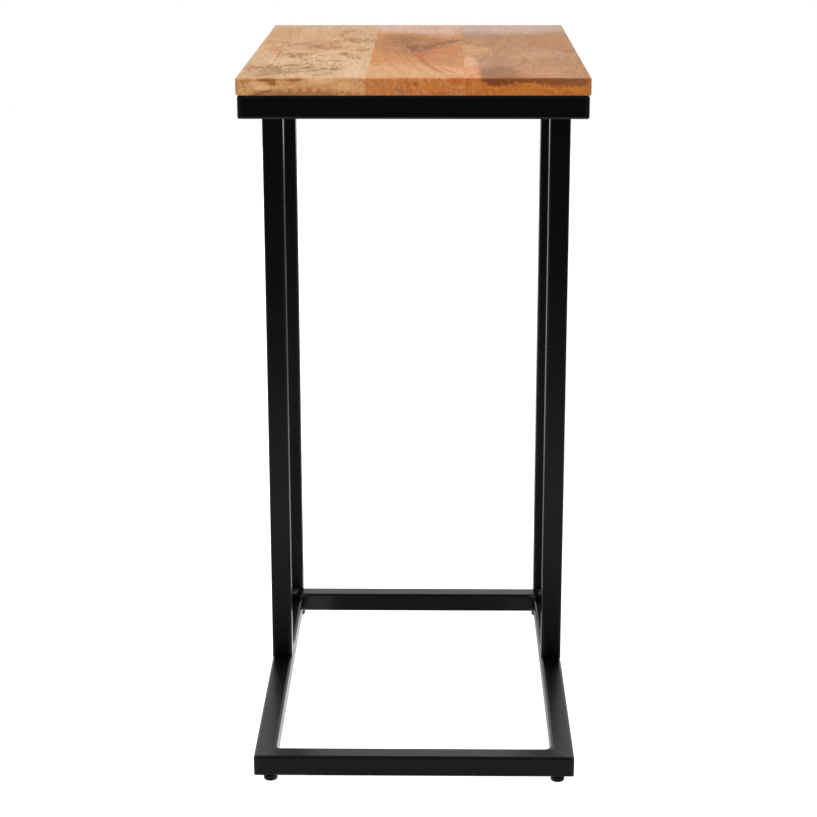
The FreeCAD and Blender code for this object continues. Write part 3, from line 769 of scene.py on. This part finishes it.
def turned(bm, centre, profile, around, upward=1.0, twist=0.0):
    # profile is (radius, height) or (across flats, height, "hex"), from the outside in
    x, y, z = centre
    loops = []
    for spot in profile:
        loop = []
        for i in range(around):
            angle = 2 * math.pi * i / around
            radius = hexRadius(spot[0], angle) if len(spot) == 3 else spot[0]
            angle += twist
            loop.append((x + radius * math.cos(angle), y + radius * math.sin(angle), z + upward * spot[1]))
        loops.append(loop)
    joinLoops(bm, loops)


# centres of the posts' screws, base and top alike
screwPlaces = [(-139, 53), (139, 53), (-139, 194), (139, 194)]
domedScrew = {"head": 5.2, "rim": 0.55, "height": 3.25, "crown": 2.7, "socket": 4.0, "socketDepth": 2.0,
              "shank": 2.95, "length": 12.0}


def makeDomedScrews(name, height, upward, stood, seed):
    look = domedScrew
    profile = [(look["shank"] - 0.5, -look["length"]), (look["shank"], -look["length"] + 0.6), (look["shank"], 0.0),
               (look["head"] - 0.15, 0.0), (look["head"], 0.15), (look["head"], look["rim"])]
    for step in range(1, 9):
        angle = math.pi / 2 * step / 8   # quarter ellipse from the rim to the crown
        profile.append((look["crown"] + (look["head"] - look["crown"]) * math.cos(angle),
                        look["rim"] + (look["height"] - look["rim"]) * math.sin(angle)))
    top, socket, floor = look["height"], look["socket"], look["height"] - look["socketDepth"]
    profile += [(socket + 0.5, top, "hex"), (socket, top - 0.25, "hex"), (socket, floor, "hex"), (0.6, floor - 0.5)]
    bm = bmesh.new()
    for number, (x, y) in enumerate(screwPlaces):
        turned(bm, (x, y, height), profile, 36, upward, math.radians((seed * 37 + number * 23) % 60))
    addPiece(name, bm, blackOxide, "frame", "black_screw", stood)


makeDomedScrews("baseDomedScrews", 32.0, 1.0, "base_bolts", 3)
makeDomedScrews("topDomedScrews", 615.0, -1.0, "top_bolts", 8)

# rounded foot with a neck, and a pocket for the stud's hexagon
glideFoot = {
    "places": {"front_left": (-134, -204), "front_right": (134, -204),
               "back_left": (-134, 214), "back_right": (134, 214)},
    "outline": [(5.0, 0.0), (5.7, 0.14), (6.15, 0.55), (6.38, 1.2), (6.4, 1.9), (6.4, 4.5), (6.25, 4.95),
                (5.75, 5.3), (5.15, 5.5), (4.95, 5.8), (4.95, 6.9), (4.88, 7.0),
                (8.1, 7.0, "hex"), (8.1, 3.0, "hex")],
}


def makeGlideFeet():
    for corner, (x, y) in glideFoot["places"].items():
        bm = bmesh.new()
        turned(bm, (x, y, 0.0), glideFoot["outline"], 48)
        addPiece("glideFoot_" + corner, bm, glidePlastic, "glide_" + corner, "glide_plastic", "glide_pad_" + corner)


makeGlideFeet()

# concave welds in the inner corners of both frames: corner, direction into the opening, and the two legs
cornerWeld = {
    "base": [((-129, -194), (1, 1), (6.0, 7.0)), ((129, -194), (-1, 1), (12.0, 13.0)),
             ((-129, 204), (1, -1), (8.5, 7.5)), ((129, 204), (-1, -1), (7.5, 8.0))],
    "top": [((-129, -204), (1, 1), (5.4, 5.8)), ((129, -204), (-1, 1), (6.2, 5.2)),
            ((-129, 204), (1, -1), (5.6, 6.4)), ((129, 204), (-1, -1), (6.4, 5.8))],
    # height above the tube's underside, share of the legs
    "layers": [(1.0, 0.62), (1.3, 0.82), (1.9, 0.94), (3.0, 1.0), (5.0, 1.01), (7.2, 0.985), (9.6, 1.015),
               (12.0, 0.99), (14.4, 1.01), (16.8, 0.995), (18.0, 0.95), (18.6, 0.84), (19.0, 0.64)],
    "buried": 1.4, "uneven": 0.05,
}


def makeCornerWelds(name, which, bottom, material, stood, seed):
    chance = random.Random(seed)
    bm = bmesh.new()
    for (x, y), (inX, inY), (legX, legY) in cornerWeld[which]:
        loops = []
        for height, share in cornerWeld["layers"]:
            share *= 1 + chance.uniform(-1, 1) * cornerWeld["uneven"] * 0.4
            loop = [(-cornerWeld["buried"], -cornerWeld["buried"]), (legX * share, -cornerWeld["buried"])]
            for step in range(13):
                angle = math.pi / 2 * step / 12
                loop.append((legX * share * (1 - math.sin(angle)), legY * share * (1 - math.cos(angle))))
            loop.append((-cornerWeld["buried"], legY * share))
            loops.append([(x + inX * u, y + inY * v, bottom + height) for u, v in loop])
        joinLoops(bm, loops)
    addPiece(name, bm, material, "frame", "black_frame", stood)


makeCornerWelds("baseCornerWelds", "base", 7.0, baseFrameCoat, "base_corner_welds", 21)
makeCornerWelds("topCornerWelds", "top", 620.0, topFrameCoat, "top_corner_welds", 34)

# rippled beads between each post and its plate; a face is its y and the way out of it
plateBead = {"from": 131.7, "to": 146.3, "leg": 2.35, "pitch": 1.35, "ripple": 0.20, "steps": 96,
             "faces": [(43, 1), (204, -1)]}


def makePlateBeads(name, height, upward, stood, seed):
    chance = random.Random(seed)
    bm = bmesh.new()
    steps = plateBead["steps"]
    for side in (-1, 1):
        for y, facing in plateBead["faces"]:
            shift = chance.random()
            loops = []
            for i in range(steps + 1):
                share = i / steps
                along = plateBead["from"] + (plateBead["to"] - plateBead["from"]) * share
                wave = ((along / plateBead["pitch"] + shift) % 1.0) * 2 - 1   # each ripple overlaps the last
                size = 1 - plateBead["ripple"] * (1 - math.sqrt(max(0.0, 1 - wave * wave)))
                size *= min(1.0, 0.45 + 6 * min(share, 1 - share)) * (1 + 0.03 * math.sin(7 * share + seed))
                reach = plateBead["leg"] * min(size, 1.0)
                loop = [(-0.3, -0.3), (reach, -0.3)]
                for step in range(9):
                    angle = math.pi / 2 * step / 8
                    loop.append((reach * math.cos(angle), reach * math.sin(angle)))
                loop.append((-0.3, reach))
                loops.append([(side * along, y + facing * u, height + upward * v) for u, v in loop])
            joinLoops(bm, loops)
    addPiece(name, bm, postCoat, "frame", "black_frame", stood)


makePlateBeads("footPlateBeads", 32.0, 1.0, "foot_plate_beads", 5)
makePlateBeads("headPlateBeads", 615.0, -1.0, "head_plate_beads", 9)
print("screws, feet and welds done")


# floor, light and camera
studioLook = {
    "floorSize": (4.4, 4.6), "floorShift": 1.3, "roughness": 0.75, "specular": 0.2,
    "floor": (240, 240, 239), "floorBehind": (196, 196, 195), "clouds": (244, 244, 243),
    "farLeft": (250, 250, 249), "farRight": (30, 30, 30), "glow": 1.0, "glowBeside": (1.3, 0.5),
    "glowStrips": {"inner": (0.090, 0.112), "outer": (0.133, 0.126), "reach": (0.40, 0.26), "front": (-0.235, -0.215)},
    "skyLow": 0.085, "skyBack": 1.0, "skyTop": 0.35, "rightSide": 0.7,
}


def makeFloor():
    width, length = studioLook["floorSize"]
    mesh = bpy.data.meshes.new("studioFloor")
    bm = bmesh.new()
    bmesh.ops.create_grid(bm, x_segments=8, y_segments=8, size=0.5)
    for corner in bm.verts:
        corner.co.x *= width
        corner.co.y = corner.co.y * length + studioLook["floorShift"]
    bm.to_mesh(mesh)
    bm.free()
    floor = bpy.data.objects.new("studioFloor", mesh)
    scene.collection.objects.link(floor)
    material, tree, shader, place = newMaterial("paleFloor")
    cloud = noise(tree, place, 3.0, 3.0)
    parts = split(tree, place)
    away = spread(tree, parts[1], -0.5, -0.1)   # greyer under and behind the table
    shade = mixColours(tree, away, colour(*studioLook["floor"]), colour(*studioLook["floorBehind"]))
    # far behind, the posts' inner faces mirror a pale floor on the left and a dark one on the right
    farLeft, farRight = colour(*studioLook["farLeft"]), colour(*studioLook["farRight"])
    far = mixColours(tree, spread(tree, parts[0], -0.02, 0.05), farLeft, farRight)
    shade = mixColours(tree, spread(tree, parts[1], 0.15, 0.8), shade, far)
    shade = mixColours(tree, spread(tree, cloud, 0.3, 0.7, 0.0, 0.3), shade, colour(*studioLook["clouds"]))
    feed(tree, shader.inputs["Base Color"], shade)
    feed(tree, shader.inputs["Roughness"], calc(tree, "MULTIPLY_ADD", cloud, 0.1, studioLook["roughness"]))
    shader.inputs["Specular IOR Level"].default_value = studioLook["specular"]
    # glowing strips along the base rails' inner sides, between the front bar and the posts: a painted reflection,
    # lit only for the rails' gloss
    sideways = calc(tree, "ABSOLUTE", parts[0])
    reach = addNode(tree, "VectorMath", (place,), operation="LENGTH").outputs["Value"]
    glowStrips = studioLook["glowStrips"]
    stripGlow = times(tree, spread(tree, sideways, *glowStrips["inner"]), spread(tree, sideways, *glowStrips["outer"]))
    stripGlow = times(tree, stripGlow, spread(tree, reach, *glowStrips["reach"]))
    stripGlow = times(tree, stripGlow, spread(tree, parts[1], *glowStrips["front"]))
    stripGlow = times(tree, stripGlow, spread(tree, parts[0], -0.05, 0.05, *studioLook["glowBeside"]))
    # the floor glows for the lens, so it looks bleached white, and the strips glow only in the rails' gloss,
    # a painted reflection on their inner sides; otherwise the object is lit by it as by any pale floor
    path = addNode(tree, "LightPath").outputs
    seen = times(tree, path["Is Camera Ray"], studioLook["glow"])
    glow = calc(tree, "MULTIPLY_ADD", path["Is Glossy Ray"], stripGlow, seen)
    feed(tree, shader.inputs["Emission Color"], join(tree, glow, glow, glow))
    shader.inputs["Emission Strength"].default_value = 1.0
    mesh.materials.append(material)


def makeWorld():
    # bright behind the table and overhead, dark behind the camera; the lens itself sees plain white
    world = bpy.data.worlds.new("studio")
    scene.world = world
    world.use_nodes = True
    tree = world.node_tree
    parts = split(tree, tree.nodes.new("ShaderNodeTexCoord").outputs["Generated"])
    back = times(tree, spread(tree, parts[1], -0.15, 0.85), studioLook["skyBack"])
    top = times(tree, spread(tree, parts[2], 0.25, 0.95), studioLook["skyTop"])
    amount = calc(tree, "ADD", calc(tree, "ADD", back, top), studioLook["skyLow"])
    amount = times(tree, amount, spread(tree, parts[0], 0.15, 0.75, 1.0, studioLook["rightSide"]))
    seen = addNode(tree, "LightPath").outputs["Is Camera Ray"]
    strength = calc(tree, "ADD", times(tree, amount, minus(tree, 1.0, seen)), seen)
    sky = tree.nodes["Background"]
    sky.inputs["Color"].default_value = (1.0, 1.0, 1.0, 1.0)
    feed(tree, sky.inputs["Strength"], strength)


lamps = {
    "leftSoftbox": {"at": (-1.4, -1.15, 1.65), "towards": (0.0, 0.0, 0.4), "size": (1.2, 1.6), "watts": 29},
    "rightSoftbox": {"at": (1.4, -1.15, 1.65), "towards": (0.0, 0.0, 0.4), "size": (1.2, 1.6), "watts": 25.5},
}


def makeLamps():
    for name, look in lamps.items():
        data = bpy.data.lights.new(name, "AREA")
        data.shape = "RECTANGLE"
        data.size, data.size_y = look["size"]
        data.energy = look["watts"]
        lamp = bpy.data.objects.new(name, data)
        scene.collection.objects.link(lamp)
        lamp.location = look["at"]
        away = Vector(look["at"]) - Vector(look["towards"])
        lamp.rotation_euler = away.to_track_quat("Z", "Y").to_euler()
        lamp.visible_camera = False


cameraLook = {"at": (21, -1987, 871), "tilt": 74.02, "roll": 0.08, "turn": 0.80, "lens": 92.05}


def makeCamera():
    data = bpy.data.cameras.new("tableCamera")
    camera = bpy.data.objects.new("tableCamera", data)
    scene.collection.objects.link(camera)
    data.sensor_fit = "HORIZONTAL"
    data.sensor_width = 36
    data.lens = cameraLook["lens"]
    camera.location = Vector(cameraLook["at"]) * mm
    camera.rotation_euler = [math.radians(cameraLook[k]) for k in ("tilt", "roll", "turn")]
    data.dof.use_dof = False
    scene.camera = camera


makeFloor()
makeWorld()
makeLamps()
makeCamera()
scene.view_settings.view_transform = "Standard"
scene.view_settings.look = "None"
print("studio done")
